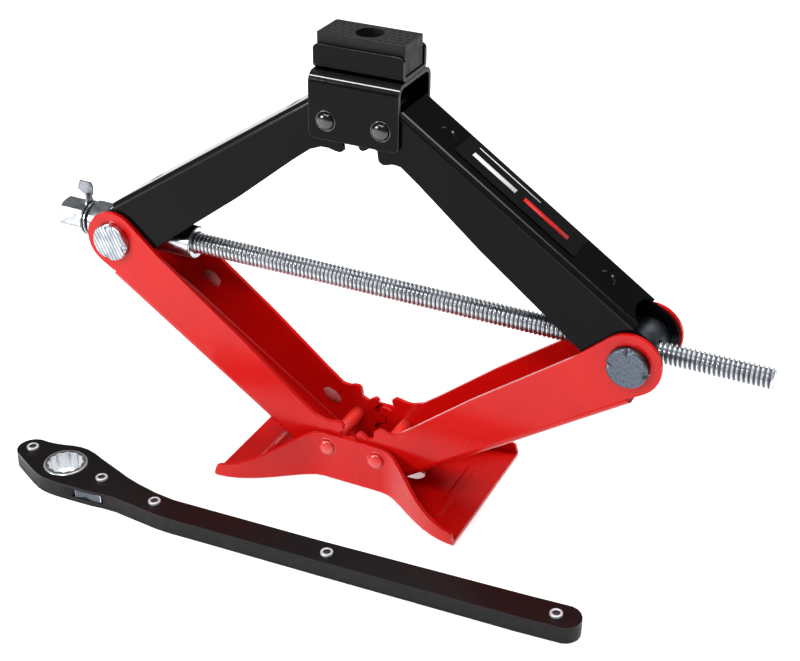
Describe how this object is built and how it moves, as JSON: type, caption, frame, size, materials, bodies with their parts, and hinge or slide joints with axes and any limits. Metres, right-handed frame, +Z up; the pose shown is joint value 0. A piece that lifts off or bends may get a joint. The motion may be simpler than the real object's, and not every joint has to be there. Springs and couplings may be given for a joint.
{
  "type": "scissor jack",
  "caption": "Screw-driven scissor jack on a pressed foot, with toothed channel arms, a padded saddle and a loose ratchet handle.",
  "frame": {"origin": "on the ground under the foot, midway between the two base pins", "axes": "+X along the drive screw, away from its hexagon; +Y to the back; +Z up"},
  "size_m": [0.4422, 0.1626, 0.2751],
  "materials": {
    "red_paint": "gloss",
    "black_paint": "gloss",
    "zinc": "satin",
    "dull_zinc": "mottled",
    "rubber": "matt",
    "plastic": "matt",
    "label": "satin"
  },
  "bodies": {
    "foot": {"base_plate": "red_paint", "base_pin_left": "red_paint", "base_pin_right": "red_paint"},
    "lower_left": {"lower_arm_left": "red_paint"},
    "lower_right": {"lower_arm_right": "red_paint"},
    "upper_left": {"upper_arm_left": "black_paint"},
    "upper_right": {"upper_arm_right": "black_paint", "label_plate": "label"},
    "trunnion_left": {"trunnion_left": "zinc", "thrust_collar": "zinc", "bearing_race": "dull_zinc", "spacer_sleeve": "zinc"},
    "trunnion_right": {"trunnion_right": "dull_zinc"},
    "screw": {"drive_screw": "zinc", "drive_head": "zinc", "drive_tab": "zinc", "thrust_washer": "zinc"},
    "saddle": {"saddle_bracket": "black_paint", "saddle_plate": "black_paint", "saddle_rivet": "black_paint", "saddle_pin_left": "black_paint", "saddle_pin_right": "black_paint", "rubber_pad": "rubber"},
    "handle": {"handle_plate_top": "black_paint", "handle_plate_bottom": "black_paint", "handle_core": "plastic", "handle_screw_1": "zinc", "handle_screw_2": "zinc", "handle_screw_3": "zinc", "handle_screw_4": "zinc", "handle_screw_5": "zinc", "pawl_spring": "zinc"},
    "ratchet_ring": {"ratchet_ring": "zinc"},
    "pawl": {"pawl": "zinc"},
    "lever": {"reversing_lever": "zinc"}
  },
  "joints": [
    {"name": "lift", "type": "hinge", "parent": "foot", "child": "lower_left", "pos_m": [-0.0162, 0, 0.0227], "axis": [0, 1, 0], "range_deg": [-28.5, 24.5]},
    {"name": "right_arm_swing", "type": "hinge", "parent": "foot", "child": "lower_right", "pos_m": [0.0162, 0, 0.0227], "axis": [0, 1, 0], "range_deg": [-24.5, 28.5]},
    {"name": "left_elbow", "type": "hinge", "parent": "lower_left", "child": "upper_left", "pos_m": [-0.16111, 0, 0.12607], "axis": [0, 1, 0], "range_deg": [-49, 57]},
    {"name": "left_trunnion_turn", "type": "hinge", "parent": "lower_left", "child": "trunnion_left", "pos_m": [-0.16111, 0, 0.12607], "axis": [0, 1, 0], "range_deg": [-24.5, 28.5]},
    {"name": "right_elbow", "type": "hinge", "parent": "lower_right", "child": "upper_right", "pos_m": [0.16111, 0, 0.12607], "axis": [0, 1, 0], "range_deg": [-57, 49]},
    {"name": "right_trunnion_turn", "type": "hinge", "parent": "lower_right", "child": "trunnion_right", "pos_m": [0.16111, 0, 0.12607], "axis": [0, 1, 0], "range_deg": [-28.5, 24.5]},
    {"name": "saddle_level", "type": "hinge", "parent": "upper_left", "child": "saddle", "pos_m": [-0.0162, 0, 0.22943], "axis": [0, 1, 0], "range_deg": [-28.5, 24.5]},
    {"name": "screw_spin", "type": "hinge", "parent": "trunnion_left", "child": "screw", "pos_m": [-0.16111, 0, 0.12607], "axis": [1, 0, 0], "continuous": true},
    {"name": "handle_lift", "type": "slide", "parent": "foot", "child": "handle", "axis": [0, 0, 1], "range_m": [0, 0.3]},
    {"name": "ratchet_spin", "type": "hinge", "parent": "handle", "child": "ratchet_ring", "pos_m": [-0.1568, -0.09221, 0.0053], "axis": [0, 0, 1], "continuous": true},
    {"name": "pawl_tilt", "type": "hinge", "parent": "handle", "child": "pawl", "pos_m": [-0.14162, -0.1054, 0.006], "axis": [0, 0, 1], "range_deg": [-2, 2]},
    {"name": "lever_flip", "type": "hinge", "parent": "handle", "child": "lever", "pos_m": [-0.13576, -0.10817, 0.006], "axis": [0, 0, 1], "range_deg": [-8, 0]}
  ],
  "couplings": [
    {"joint": "right_arm_swing", "follows": "lift", "ratio": -1},
    {"joint": "left_elbow", "follows": "lift", "ratio": -2},
    {"joint": "left_trunnion_turn", "follows": "lift", "ratio": -1},
    {"joint": "right_elbow", "follows": "lift", "ratio": 2},
    {"joint": "right_trunnion_turn", "follows": "lift", "ratio": 1},
    {"joint": "saddle_level", "follows": "lift", "ratio": 1}
  ]
}
